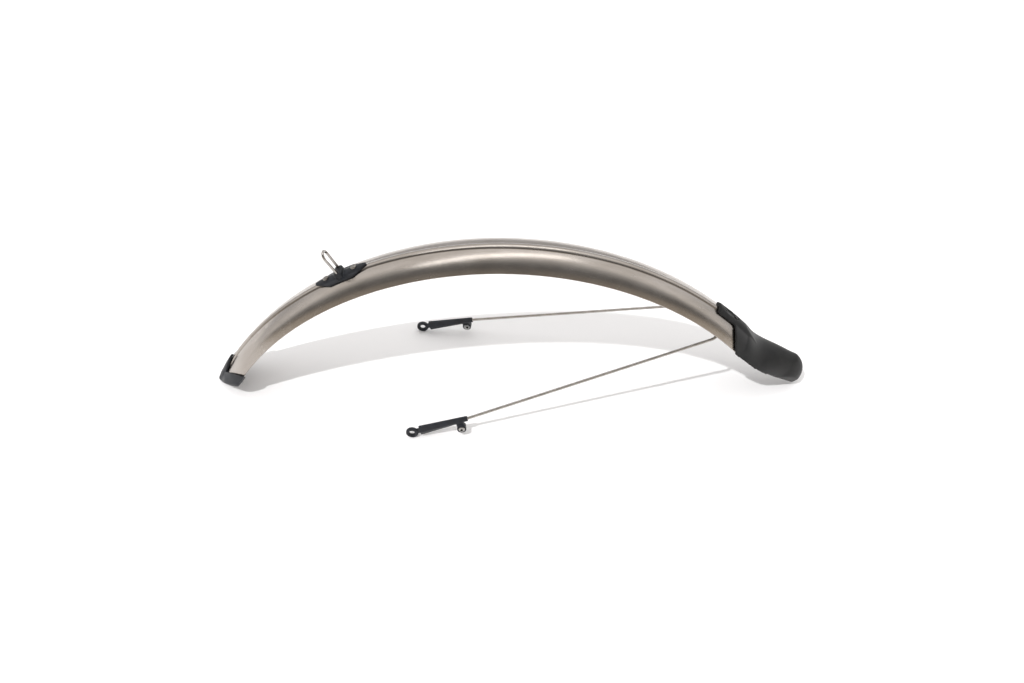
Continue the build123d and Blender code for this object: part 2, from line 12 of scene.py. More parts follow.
import bpy
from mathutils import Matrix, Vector

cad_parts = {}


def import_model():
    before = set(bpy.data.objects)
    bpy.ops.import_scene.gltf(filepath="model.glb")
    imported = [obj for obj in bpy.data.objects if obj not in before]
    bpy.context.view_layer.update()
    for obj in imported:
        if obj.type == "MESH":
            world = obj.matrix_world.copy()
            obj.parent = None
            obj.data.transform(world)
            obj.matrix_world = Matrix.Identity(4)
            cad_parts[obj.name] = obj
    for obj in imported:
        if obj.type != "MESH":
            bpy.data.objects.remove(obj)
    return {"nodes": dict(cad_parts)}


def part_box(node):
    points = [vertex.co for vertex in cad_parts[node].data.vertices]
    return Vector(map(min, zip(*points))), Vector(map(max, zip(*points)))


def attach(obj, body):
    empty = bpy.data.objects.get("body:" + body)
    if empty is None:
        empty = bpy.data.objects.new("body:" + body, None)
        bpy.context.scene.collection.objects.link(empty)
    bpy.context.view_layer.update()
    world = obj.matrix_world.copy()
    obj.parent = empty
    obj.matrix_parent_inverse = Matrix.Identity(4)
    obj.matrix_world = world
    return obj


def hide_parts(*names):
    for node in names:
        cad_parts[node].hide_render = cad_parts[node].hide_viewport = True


log = logging.getLogger("mudguard")

Colour = tuple[float, float, float]
Triple = tuple[float, float, float]
Span = tuple[float, float]
Tones = tuple[tuple[float, Colour], ...]

# The display curve's numbers, from screen value to linear light
FULL_TONE = 255.0
CURVE_START = 0.04045
CURVE_SLOPE = 12.92
CURVE_OFFSET = 0.055
CURVE_SCALE = 1.055
CURVE_POWER = 2.4

# The range that holds most of a noise pattern's values, and the range of a share
MIDDLE: Span = (0.3, 0.7)
WHOLE: Span = (0.0, 1.0)


class Body(Enum):
    """The two CAD bodies that pieces ride on."""

    GUARD = "guard"
    STAY = "stay"


class Slot(Enum):
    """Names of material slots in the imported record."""

    PLASTIC = "black_plastic"
    RUBBER = "rubber"


class Blend(Enum):
    """Ways of laying one colour over another."""

    MIX = "MIX"
    OVERLAY = "OVERLAY"


class Operation(Enum):
    """Sums that a math node does."""

    ABSOLUTE = "ABSOLUTE"
    ADD = "ADD"
    ARCTAN2 = "ARCTAN2"
    DIVIDE = "DIVIDE"
    MULTIPLY = "MULTIPLY"
    SQRT = "SQRT"
    SUBTRACT = "SUBTRACT"


def channel(value: int) -> float:
    """Turns one display channel of 0 to 255 into linear light.

    Args:
        value: The channel as shown on screen.

    Returns:
        The linear value.
    """
    share = value / FULL_TONE
    if share <= CURVE_START:
        return share / CURVE_SLOPE
    return ((share + CURVE_OFFSET) / CURVE_SCALE) ** CURVE_POWER


def linear(red: int, green: int, blue: int) -> Colour:
    """Turns a display colour of 0 to 255 into the linear colour that shaders take."""
    return channel(red), channel(green), channel(blue)


@dataclass(frozen=True)
class Grain:
    """What a noise pattern is made of: scale per metre, octaves, and stretch along each axis."""

    scale: float = 1.0
    detail: float = 4.0
    rough: float = 0.55
    stretch: Triple | None = None


@dataclass(frozen=True)
class Relief:
    """How far a pattern stands up, in metres, and how much of that shows."""

    depth: float
    strength: float


class NodeSheet:
    """A node tree, with short calls for the nodes that finishes and surroundings share."""

    def __init__(self, tree: bpy.types.NodeTree) -> None:
        """Empties a node tree for new nodes."""
        self.tree = tree
        self.tree.nodes.clear()

    def add(self, kind: str) -> Any:
        """Adds a node of one kind."""
        return self.tree.nodes.new(kind)

    def link(self, start: Any, end: Any) -> None:
        """Links an output socket to an input socket."""
        self.tree.links.new(start, end)

    def give(self, socket: Any, value: Any) -> None:
        """Gives an input socket its value.

        Args:
            socket: The input socket.
            value: A number, a colour or an output socket to link.
        """
        if isinstance(value, (int, float)):
            socket.default_value = value
        elif isinstance(value, tuple):
            socket.default_value = (*value, 1.0)
        else:
            self.link(value, socket)

    def math(self, operation: Operation, first: Any, second: Any = 0.0) -> Any:
        """Adds a math node.

        Args:
            operation: The node's sum.
            first: A socket or a number.
            second: A socket or a number.

        Returns:
            The node's output socket.
        """
        node = self.add("ShaderNodeMath")
        node.operation = operation.value
        self.give(node.inputs[0], first)
        self.give(node.inputs[1], second)
        return node.outputs[0]

    def split(self, vector: Any) -> tuple[Any, Any, Any]:
        """Splits a vector into its three parts.

        Args:
            vector: The vector's socket.

        Returns:
            The sockets of its x, y and z.
        """
        node = self.add("ShaderNodeSeparateXYZ")
        self.link(vector, node.inputs[0])
        return node.outputs[0], node.outputs[1], node.outputs[2]


class ShaderSheet(NodeSheet):
    """A material's node tree, with its surface shader and the patterns that feed it."""

    mix_inputs: tuple[int, int, int] = (0, 6, 7)
    mix_output: int = 2

    def __init__(self, name: str) -> None:
        """Starts a material that has only a surface shader.

        Args:
            name: The material's name.
        """
        self.material = bpy.data.materials.new(name)
        self.material.use_nodes = True
        super().__init__(self.material.node_tree)
        self.surface = self.add("ShaderNodeBsdfPrincipled")
        output = self.add("ShaderNodeOutputMaterial")
        self.link(self.surface.outputs["BSDF"], output.inputs["Surface"])
        self.coords = self.add("ShaderNodeTexCoord").outputs["Object"]

    def set(self, **values: Any) -> None:
        """Sets the surface shader's own sockets, with underscores for the spaces in their names."""
        for name, value in values.items():
            self.surface.inputs[name.replace("_", " ")].default_value = value

    def feed(self, name: str, socket: Any) -> None:
        """Links a pattern to one of the surface shader's sockets."""
        self.link(socket, self.surface.inputs[name])

    def join(self, x: Any, y: Any, z: Any) -> Any:
        """Joins three parts into a vector.

        Args:
            x: A socket or a number.
            y: A socket or a number.
            z: A socket or a number.

        Returns:
            The vector's socket.
        """
        node = self.add("ShaderNodeCombineXYZ")
        for socket, part in zip(node.inputs, (x, y, z)):
            self.give(socket, part)
        return node.outputs[0]

    def noise(self, grain: Grain, vector: Any = None) -> Any:
        """Adds a noise pattern.

        Args:
            grain: What it is made of.
            vector: The coordinates, or the object's own where none are given.

        Returns:
            The pattern's value.
        """
        place = self.coords if vector is None else vector
        if grain.stretch is not None:
            stretched = self.add("ShaderNodeMapping")
            stretched.inputs["Scale"].default_value = grain.stretch
            self.link(place, stretched.inputs["Vector"])
            place = stretched.outputs[0]
        node = self.add("ShaderNodeTexNoise")
        node.inputs["Scale"].default_value = grain.scale
        node.inputs["Detail"].default_value = grain.detail
        node.inputs["Roughness"].default_value = grain.rough
        self.link(place, node.inputs["Vector"])
        return node.outputs["Fac"]

    def flakes(self, scale: float) -> Any:
        """Adds a pattern of cells on the object's own coordinates.

        Args:
            scale: Its scale, per metre.

        Returns:
            Each point's distance from its cell's middle.
        """
        node = self.add("ShaderNodeTexVoronoi")
        node.inputs["Scale"].default_value = scale
        self.link(self.coords, node.inputs["Vector"])
        return node.outputs["Distance"]

    def spread(self, value: Any, span: Span, to: Span) -> Any:
        """Maps a range of values to another, held at its ends.

        Args:
            value: The value to map.
            span: The start and end of its range.
            to: What the start and the end become.

        Returns:
            The mapped value.
        """
        node = self.add("ShaderNodeMapRange")
        for place, number in enumerate((*span, *to), start=1):
            node.inputs[place].default_value = number
        self.link(value, node.inputs[0])
        return node.outputs[0]

    def mix(self, share: Any, first: Any, second: Any, blend: Blend = Blend.MIX) -> Any:
        """Mixes two colours.

        Args:
            share: How much of the second colour shows, as a socket or a number.
            first: A colour or a socket.
            second: A colour or a socket.
            blend: How the second lies over the first.

        Returns:
            The mixed colour.
        """
        node = self.add("ShaderNodeMix")
        node.data_type = "RGBA"
        node.blend_type = blend.value
        for place, value in zip(self.mix_inputs, (share, first, second)):
            self.give(node.inputs[place], value)
        return node.outputs[self.mix_output]

    def bump(self, height: Any, relief: Relief, under: Any = None) -> Any:
        """Adds relief to the surface.

        Args:
            height: The pattern that stands up.
            relief: How far it stands up.
            under: The relief that this one lies on, if any.

        Returns:
            The relief's normal.
        """
        node = self.add("ShaderNodeBump")
        node.inputs["Strength"].default_value = relief.strength
        node.inputs["Distance"].default_value = relief.depth
        self.link(height, node.inputs["Height"])
        if under is not None:
            self.link(under, node.inputs["Normal"])
        self.feed("Normal", node.outputs[0])
        return node.outputs[0]


class RoomSheet(NodeSheet):
    """The node tree of the studio's surroundings."""

    def ramp(self, share: Any, tones: Tones) -> Any:
        """Adds a row of tones, the first at 0 and the last at 1.

        Args:
            share: The place on the row, as a socket.
            tones: The places and their tones.

        Returns:
            The tone at that place.
        """
        node = self.add("ShaderNodeValToRGB")
        self.link(share, node.inputs[0])
        steps = node.color_ramp.elements
        steps[0].color = (*tones[0][1], 1.0)
        steps[1].color = (*tones[-1][1], 1.0)
        for place, tone in tones[1:-1]:
            steps.new(place).color = (*tone, 1.0)
        return node.outputs[0]

    def glow(self, tone: Any, strength: float = 1.0) -> Any:
        """Adds a light that comes from all around.

        Args:
            tone: Its colour, or the socket of one.
            strength: Its strength.

        Returns:
            The light's socket.
        """
        node = self.add("ShaderNodeBackground")
        node.inputs["Strength"].default_value = strength
        self.give(node.inputs["Color"], tone)
        return node.outputs[0]

    def choose(self, ray: Any, light: Any, other: Any) -> Any:
        """Shows another light to one kind of ray.

        Args:
            ray: Says whether a ray is of that kind.
            light: The light for all others.
            other: The light for that kind.

        Returns:
            The socket of both.
        """
        node = self.add("ShaderNodeMixShader")
        for socket, value in zip(node.inputs, (ray, light, other)):
            self.link(value, socket)
        return node.outputs[0]


class Finish(ABC):
    """A finish that pieces wear."""

    @abstractmethod
    def make(self) -> bpy.types.Material:
        """Builds the material."""


@dataclass(frozen=True)
class BladeFinish(Finish):
    """Satin champagne metal skin, with fine lines along the blade, light handling marks and painted
    shade along the grooves beside the ridge.
    """

    light: Colour = linear(171, 165, 159)
    deep: Colour = linear(157, 150, 143)
    sheen: Colour = (0.92, 0.90, 0.88)
    painted_groove_shade: Colour = linear(96, 82, 70)
    axle: tuple[float, float] = (-0.0076253, -0.1590896)
    crown_radius: float = 0.36
    drawn: Grain = Grain(detail=3.0, stretch=(45.0, 2600.0, 1.0))
    cloud: Grain = Grain(detail=5.0, stretch=(16.0, 60.0, 1.0))
    smudge: Grain = Grain(detail=6.0, rough=0.65, stretch=(38.0, 90.0, 1.0))
    flake_scale: float = 5200.0
    cloud_span: Span = (0.35, 0.68)
    sheen_share: float = 0.16
    groove_place: float = 0.0046
    groove_width: float = 0.0011
    groove_shade_share: float = 0.75
    smudge_span: Span = (0.3, 0.72)
    roughness: Span = (0.2, 0.29)
    line_relief: Relief = Relief(0.00002, 0.12)
    flake_relief: Relief = Relief(0.00001, 0.06)

    def make(self) -> bpy.types.Material:
        """Builds the material on coordinates that run round the wheel's axle.

        Returns:
            The material.
        """
        sheet = ShaderSheet("blade_satin")
        x, y, z = sheet.split(sheet.coords)
        from_axle_x = sheet.math(Operation.SUBTRACT, x, self.axle[0])
        from_axle_z = sheet.math(Operation.SUBTRACT, z, self.axle[1])
        turn = sheet.math(Operation.ARCTAN2, from_axle_x, from_axle_z)
        along = sheet.math(Operation.MULTIPLY, turn, self.crown_radius)
        around = sheet.join(along, y, 0.0)
        drawn = sheet.noise(self.drawn, around)
        cloud = sheet.noise(self.cloud, around)
        smudge = sheet.noise(self.smudge, around)
        flake = sheet.flakes(self.flake_scale)
        tone = sheet.mix(sheet.spread(cloud, self.cloud_span, WHOLE), self.deep, self.light)
        sheen = sheet.spread(drawn, MIDDLE, (0.0, self.sheen_share))
        tone = sheet.mix(sheen, tone, self.sheen, Blend.OVERLAY)
        # Painted shade: a brownish darkening along the two grooves beside the ridge, its strength
        # varied by the smudge pattern.
        aside = sheet.math(Operation.SUBTRACT, sheet.math(Operation.ABSOLUTE, y), self.groove_place)
        off_groove = sheet.math(Operation.ABSOLUTE, aside)
        groove_shade_mask = sheet.spread(off_groove, (0.0, self.groove_width), (self.groove_shade_share, 0.0))
        tone = sheet.mix(sheet.math(Operation.MULTIPLY, groove_shade_mask, smudge), tone, self.painted_groove_shade)
        sheet.feed("Base Color", tone)
        sheet.feed("Roughness", sheet.spread(smudge, self.smudge_span, self.roughness))
        sheet.set(Metallic=1.0, Coat_Weight=0.25, Coat_Roughness=0.2, Coat_IOR=1.45)
        lines = sheet.bump(drawn, self.line_relief)
        sheet.bump(flake, self.flake_relief, lines)
        return sheet.material


@dataclass(frozen=True)
class MouldedPlastic(Finish):
    """Black moulded plastic with a fine eroded texture, rubbed paler in patches."""

    name: str
    dark: Colour = linear(24, 26, 30)
    rubbed: Colour = linear(47, 50, 56)
    patch: Grain = Grain(95.0, 5.0, 0.62)
    texture: Grain = Grain(2600.0, 2.0)
    scuff: Grain = Grain(rough=0.7, stretch=(900.0, 240.0, 240.0))
    patch_span: Span = (0.42, 0.78)
    patch_share: float = 0.6
    scuff_span: Span = (0.62, 0.8)
    scuff_share: float = 0.35
    roughness: Span = (0.36, 0.56)
    relief: Relief = Relief(0.00006, 0.35)

    def make(self) -> bpy.types.Material:
        """Builds the material.

        Returns:
            The material.
        """
        sheet = ShaderSheet(self.name)
        patch = sheet.noise(self.patch)
        texture = sheet.noise(self.texture)
        scuff = sheet.noise(self.scuff)
        worn = sheet.spread(patch, self.patch_span, (0.0, self.patch_share))
        tone = sheet.mix(worn, self.dark, self.rubbed)
        scraped = sheet.spread(scuff, self.scuff_span, (0.0, self.scuff_share))
        sheet.feed("Base Color", sheet.mix(scraped, tone, self.rubbed))
        sheet.feed("Roughness", sheet.spread(patch, MIDDLE, self.roughness))
        sheet.set(IOR=1.5, Specular_IOR_Level=0.32)
        sheet.bump(texture, self.relief)
        return sheet.material


@dataclass(frozen=True)
class FlapRubber(Finish):
    """Dark grey moulded rubber with a soft bloom and a little dust."""

    dark: Colour = linear(26, 26, 27)
    bloom: Colour = linear(42, 42, 41)
    dust: Colour = linear(78, 75, 72)
    bloom_grain: Grain = Grain(52.0, 6.0, 0.6)
    skin_grain: Grain = Grain(1900.0, 3.0)
    dust_grain: Grain = Grain(620.0, 5.0, 0.7)
    bloom_span: Span = (0.36, 0.7)
    bloom_share: float = 0.75
    dust_span: Span = (0.62, 0.8)
    dust_share: float = 0.22
    roughness: Span = (0.44, 0.62)
    relief: Relief = Relief(0.00005, 0.3)

    def make(self) -> bpy.types.Material:
        """Builds the material.

        Returns:
            The material.
        """
        sheet = ShaderSheet("flap_rubber")
        bloom = sheet.noise(self.bloom_grain)
        skin = sheet.noise(self.skin_grain)
        dust = sheet.noise(self.dust_grain)
        paled = sheet.spread(bloom, self.bloom_span, (0.0, self.bloom_share))
        tone = sheet.mix(paled, self.dark, self.bloom)
        dusted = sheet.spread(dust, self.dust_span, (0.0, self.dust_share))
        sheet.feed("Base Color", sheet.mix(dusted, tone, self.dust))
        sheet.feed("Roughness", sheet.spread(bloom, MIDDLE, self.roughness))
        sheet.set(IOR=1.52, Specular_IOR_Level=0.1, Sheen_Weight=0.12, Sheen_Roughness=0.5)
        sheet.bump(skin, self.relief)
        return sheet.material


@dataclass(frozen=True)
class BareMetal(Finish):
    """Bare or plated metal with fine marks from drawing or pressing."""

    name: str
    light: Colour
    deep: Colour
    roughness: Span
    marks: Grain = Grain(detail=3.0, stretch=(120.0, 1800.0, 1800.0))
    cloud: Grain = Grain(140.0)
    cloud_span: Span = (0.35, 0.7)
    relief: Relief = Relief(0.00002, 0.15)

    def make(self) -> bpy.types.Material:
        """Builds the material.

        Returns:
            The material.
        """
        sheet = ShaderSheet(self.name)
        marks = sheet.noise(self.marks)
        cloud = sheet.spread(sheet.noise(self.cloud), self.cloud_span, WHOLE)
        sheet.feed("Base Color", sheet.mix(cloud, self.deep, self.light))
        sheet.feed("Roughness", sheet.spread(marks, MIDDLE, self.roughness))
        sheet.set(Metallic=1.0)
        sheet.bump(marks, self.relief)
        return sheet.material


@dataclass(frozen=True)
class SocketScrew(Finish):
    """Zinc-plated screw, with painted shade in its socket."""

    light: Colour = linear(187, 185, 182)
    deep: Colour = linear(165, 163, 160)
    socket_shade: Colour = linear(24, 23, 23)
    socket: Span = (0.0013, 0.0018)
    cloud: Grain = Grain(420.0)
    cloud_span: Span = (0.35, 0.7)
    roughness: Span = (0.24, 0.36)
    relief: Relief = Relief(0.00002, 0.2)

    def make(self) -> bpy.types.Material:
        """Builds the material round the axis of the two screws, which lie across from each other.

        Returns:
            The material.
        """
        sheet = ShaderSheet("zinc_screw")
        lowest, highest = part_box("clamp_screw_left")
        x, _, z = sheet.split(sheet.coords)
        aside = sheet.math(Operation.SUBTRACT, x, (lowest[0] + highest[0]) / 2.0)
        above = sheet.math(Operation.SUBTRACT, z, (lowest[2] + highest[2]) / 2.0)
        squares = [sheet.math(Operation.MULTIPLY, part, part) for part in (aside, above)]
        from_axis = sheet.math(Operation.SQRT, sheet.math(Operation.ADD, *squares))
        cloud = sheet.noise(self.cloud)
        tone = sheet.mix(sheet.spread(cloud, self.cloud_span, WHOLE), self.deep, self.light)
        # Painted shade: the middle of each screw head, round the screws' axis, is darkened where
        # its socket lies.
        tone = sheet.mix(sheet.spread(from_axis, self.socket, (1.0, 0.0)), tone, self.socket_shade)
        sheet.feed("Base Color", tone)
        sheet.feed("Roughness", sheet.spread(cloud, MIDDLE, self.roughness))
        sheet.set(Metallic=1.0)
        sheet.bump(cloud, self.relief)
        return sheet.material


@dataclass(frozen=True)
class PaperFloor(Finish):
    """Pale matt paper for the studio floor."""

    tone: Colour = (0.86, 0.855, 0.86)

    def make(self) -> bpy.types.Material:
        """Builds the material.

        Returns:
            The material.
        """
        sheet = ShaderSheet("studio_paper")
        sheet.set(Base_Color=(*self.tone, 1.0), Roughness=0.85, Specular_IOR_Level=0.2)
        return sheet.material


CLIP_PLASTIC = MouldedPlastic("clip_plastic", linear(25, 27, 32), linear(51, 54, 62))
STAINLESS_WIRE = BareMetal(
    "stainless_wire",
    linear(180, 176, 172),
    linear(161, 157, 153),
    roughness=(0.17, 0.24),
    marks=Grain(detail=3.0, stretch=(700.0, 700.0, 700.0)),
)
PRESSED_STAINLESS = BareMetal(
    "pressed_stainless", linear(157, 154, 148), linear(132, 127, 122), roughness=(0.28, 0.42)
)
BLACKENED_STEEL = BareMetal(
    "blackened_steel", linear(57, 55, 55), linear(36, 35, 36), roughness=(0.32, 0.5)
)
ZINC_PLATE = BareMetal(
    "zinc_plate", linear(183, 183, 182), linear(157, 158, 159), roughness=(0.2, 0.34)
)


def made_by(finish: Finish) -> Any:
    """Declares a palette's entry, which its finish makes when the palette is filled."""
    return field(default_factory=finish.make)


@dataclass
class Palette:
    """All the finishes of the object, each made once."""

    blade: bpy.types.Material = made_by(BladeFinish())
    cap: bpy.types.Material = made_by(MouldedPlastic("cap_plastic"))
    clip: bpy.types.Material = made_by(CLIP_PLASTIC)
    rubber: bpy.types.Material = made_by(FlapRubber())
    wire: bpy.types.Material = made_by(STAINLESS_WIRE)
    bridge: bpy.types.Material = made_by(PRESSED_STAINLESS)
    dark_steel: bpy.types.Material = made_by(BLACKENED_STEEL)
    screw: bpy.types.Material = made_by(SocketScrew())
    bright_steel: bpy.types.Material = made_by(ZINC_PLATE)


class Workshop:
    """Modelling steps by operator, each on one piece at a time."""

    weld: float = 0.00001
    pull: float = 0.5

    @staticmethod
    def clear_selection() -> None:
        """Deselects every object."""
        if bpy.context.object is not None and bpy.context.object.mode != "OBJECT":
            bpy.ops.object.mode_set(mode="OBJECT")
        bpy.ops.object.select_all(action="DESELECT")

    @classmethod
    def take(cls, piece: bpy.types.Object) -> None:
        """Selects one piece alone and makes it active.

        Args:
            piece: The piece.
        """
        cls.clear_selection()
        piece.select_set(True)
        bpy.context.view_layer.objects.active = piece

    @classmethod
    def apply_all(cls, piece: bpy.types.Object) -> None:
        """Applies all modifiers of a piece.

        Args:
            piece: The piece.
        """
        cls.take(piece)
        for name in [modifier.name for modifier in piece.modifiers]:
            bpy.ops.object.modifier_apply(modifier=name)

    @classmethod
    def settle(
        cls,
        piece: bpy.types.Object,
        body: Body,
        slot: Slot,
        finish: bpy.types.Material,
        node: str = "",
    ) -> None:
        """Finishes a new piece: its place goes into its mesh, and it rides on its body.

        Args:
            piece: The piece.
            body: The body that carries it.
            slot: The record's slot that its finish belongs to; not used.
            finish: Its material.
            node: The CAD node that it stands for, if any.
        """
        cls.take(piece)
        bpy.ops.object.transform_apply(location=True, rotation=True, scale=True)
        piece.data.materials.clear()
        piece.data.materials.append(finish)
        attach(piece, body.value)
        if node:
            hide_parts(node)
        log.info("made %s on %s", piece.name, body.value)

    @classmethod
    def softened_copy(
        cls, node: bpy.types.Object, name: str, grain: float, passes: int
    ) -> bpy.types.Object:
        """Copies a CAD node's mesh and rounds its edges as a mould does.

        Args:
            node: The node to copy.
            name: The new piece's name.
            grain: The size of the new mesh's faces, in metres.
            passes: How often the new mesh is smoothed.

        Returns:
            The new piece.
        """
        piece = bpy.data.objects.new(name, node.data.copy())
        bpy.context.scene.collection.objects.link(piece)
        cls.take(piece)
        cls.open_mesh()
        bpy.ops.mesh.remove_doubles(threshold=cls.weld)
        bpy.ops.object.mode_set(mode="OBJECT")
        remesh = piece.modifiers.new("even_mesh", "REMESH")
        remesh.mode = "VOXEL"
        remesh.voxel_size = grain
        cls.apply_all(piece)
        cls.open_mesh()
        bpy.ops.mesh.vertices_smooth(factor=cls.pull, repeat=passes)
        bpy.ops.object.mode_set(mode="OBJECT")
        bpy.ops.object.shade_smooth()
        return piece

    @staticmethod
    def open_mesh() -> None:
        """Opens the active piece for editing, with its whole mesh selected."""
        bpy.ops.object.mode_set(mode="EDIT")
        bpy.ops.mesh.select_all(action="SELECT")

    @classmethod
    def smooth_zone(
        cls, piece: bpy.types.Object, inside: Callable[[Vector], bool], passes: int
    ) -> None:
        """Smooths the part of a piece's mesh that a test picks out.

        Args:
            piece: The piece.
            inside: Says of a point whether it is smoothed.
            passes: How often it is smoothed.
        """
        cls.pick(piece, inside)
        bpy.ops.mesh.vertices_smooth(factor=cls.pull, repeat=passes)
        bpy.ops.object.mode_set(mode="OBJECT")

    @classmethod
    def pick(cls, piece: bpy.types.Object, inside: Callable[[Vector], bool]) -> None:
        """Opens a piece for editing, with only the points selected that a test picks out.

        Args:
            piece: The piece.
            inside: Says of a point whether it is selected.
        """
        cls.take(piece)
        bpy.ops.object.mode_set(mode="EDIT")
        bpy.ops.mesh.select_mode(type="VERT")
        bpy.ops.mesh.select_all(action="DESELECT")
        bpy.ops.object.mode_set(mode="OBJECT")
        for vertex in piece.data.vertices:
            vertex.select = inside(vertex.co)
        bpy.ops.object.mode_set(mode="EDIT")


@dataclass
class Assembly(ABC):
    """A group of pieces that belong together."""

    nodes: dict[str, bpy.types.Object]
    palette: Palette

    @abstractmethod
    def build(self) -> None:
        """Models and dresses the group's pieces."""

    def dress(self, name: str, finish: bpy.types.Material) -> None:
        """Gives a CAD node its finish.

        Args:
            name: The node's name.
            finish: Its material.
        """
        node = self.nodes[name]
        if not node.material_slots:
            node.data.materials.append(finish)
        for place in node.material_slots:
            place.material = finish
        log.info("dressed %s with %s", node.name, finish.name)


@dataclass
class Blade(Assembly):
    """The long metal blade."""

    def build(self) -> None:
        """Dresses the blade."""
        self.dress("blade", self.palette.blade)


@dataclass
class FrontCap(Assembly):
    """The plastic shoe over the front end."""

    grain: float = 0.0006
    passes: int = 3
    end_passes: int = 60
    end_depth: float = 0.009
    forward: Triple = (-0.42, 0.0, -0.907)
    point_reach: float = 0.137
    flank_slope: float = 0.95
    flank: Span = (0.011, 0.02)
    flank_depth: float = 0.004
    belly: float = 0.0022
    belly_size: float = 0.012

    def build(self) -> None:
        """Rounds the cap's edges, most of all its end, and gives each flank of the end a belly."""
        cap = Workshop.softened_copy(
            self.nodes["front_cap"], "front_cap_shell", self.grain, self.passes
        )
        for side in (-1.0, 1.0):
            Workshop.pick(cap, lambda point: self.on_flank(point, side))
            bpy.ops.transform.translate(
                value=Vector(self.forward) * self.belly,
                use_proportional_edit=True,
                proportional_edit_falloff="SMOOTH",
                proportional_size=self.belly_size,
            )
            bpy.ops.object.mode_set(mode="OBJECT")
        Workshop.smooth_zone(
            cap, lambda point: self.behind_end(point) < self.end_depth, self.end_passes
        )
        Workshop.settle(cap, Body.GUARD, Slot.PLASTIC, self.palette.cap, "front_cap")

    def behind_end(self, point: Vector) -> float:
        """How far a point lies behind the raked end, in metres."""
        return self.point_reach - self.flank_slope * abs(point.y) - point.dot(Vector(self.forward))

    def on_flank(self, point: Vector, side: float) -> bool:
        """Says whether a point lies in the middle of one flank of the end."""
        across = self.flank[0] < side * point.y < self.flank[1]
        return across and self.behind_end(point) < self.flank_depth


@dataclass
class MudFlap(Assembly):
    """The rubber flap, the bead along its front edge and the rivets in its tongue."""

    grain: float = 0.0008
    passes: int = 4
    toe_passes: int = 14
    toe_start: float = 0.285
    bead_points: int = 160
    bead_plane: float = 0.2446
    bead_centre: float = 0.067
    bead_circle: float = 0.042
    bead_upright: Triple = (0.0, math.radians(90.0), 0.0)
    bead_low: float = 0.0815
    bead_tongue: float = 0.0086
    bead_radius: float = 0.00055
    bead_rounding: int = 3

    def build(self) -> None:
        """Softens the flap's edges, runs the bead and dresses the rivets."""
        flap = Workshop.softened_copy(
            self.nodes["mud_flap"], "mud_flap_rubber", self.grain, self.passes
        )
        Workshop.smooth_zone(flap, lambda point: point.x > self.toe_start, self.toe_passes)
        Workshop.settle(flap, Body.GUARD, Slot.RUBBER, self.palette.rubber, "mud_flap")
        Workshop.settle(self.bead(flap), Body.GUARD, Slot.RUBBER, self.palette.rubber)
        self.dress("flap_rivets", self.palette.dark_steel)

    def bead(self, flap: bpy.types.Object) -> bpy.types.Object:
        """Models the moulded bead that follows the sleeve's front edge on each side of the tongue.

        Args:
            flap: The flap that the bead lies on.

        Returns:
            The bead.
        """
        Workshop.clear_selection()
        bpy.ops.mesh.primitive_circle_add(
            vertices=self.bead_points,
            radius=self.bead_circle,
            location=(self.bead_plane, 0.0, self.bead_centre),
            rotation=self.bead_upright,
        )
        bead = bpy.context.object
        bead.name = "mud_flap_bead"
        bpy.ops.object.transform_apply(location=True, rotation=True, scale=True)
        seat = bead.modifiers.new("seat", "SHRINKWRAP")
        seat.target = flap
        seat.wrap_method = "NEAREST_SURFACEPOINT"
        Workshop.apply_all(bead)
        Workshop.pick(bead, self.off_bead)
        bpy.ops.mesh.delete(type="VERT")
        bpy.ops.object.mode_set(mode="OBJECT")
        bpy.ops.object.convert(target="CURVE")
        bead.data.bevel_depth = self.bead_radius
        bead.data.bevel_resolution = self.bead_rounding
        bead.data.use_fill_caps = True
        bpy.ops.object.convert(target="MESH")
        bpy.ops.object.shade_smooth()
        return bead

    def off_bead(self, point: Vector) -> bool:
        """Says whether a point lies below the bead's ends or on the tongue."""
        return point.z < self.bead_low or abs(point.y) < self.bead_tongue


@dataclass
class Stay(Assembly):
    """The wire stay with its bridge, clips, screws and release eyelets."""

    grain: float = 0.00035
    passes: int = 3

    def build(self) -> None:
        """Dresses the stay and rounds the edges of its clips."""
        self.dress("stay_wire", self.palette.wire)
        self.dress("stay_bridge", self.palette.bridge)
        for side in ("left", "right"):
            node = f"stay_clip_{side}"
            clip = Workshop.softened_copy(
                self.nodes[node], f"{node}_shell", self.grain, self.passes
            )
            Workshop.settle(clip, Body.STAY, Slot.PLASTIC, self.palette.clip, node)
            self.dress(f"eyelet_{side}", self.palette.clip)
            self.dress(f"clamp_screw_{side}", self.palette.screw)
            self.dress(f"clamp_nut_{side}", self.palette.bright_steel)


@dataclass
class ForkBracket(Assembly):
    """The wire loop that bolts to the fork, with its base and rivets."""

    grain: float = 0.0004
    passes: int = 3

    def build(self) -> None:
        """Dresses the bracket and rounds the edges of its base."""
        self.dress("bracket_loop", self.palette.wire)
        base = Workshop.softened_copy(
            self.nodes["bracket_base"], "bracket_base_shell", self.grain, self.passes
        )
        Workshop.settle(base, Body.GUARD, Slot.PLASTIC, self.palette.cap, "bracket_base")
        self.dress("bracket_rivets", self.palette.bridge)


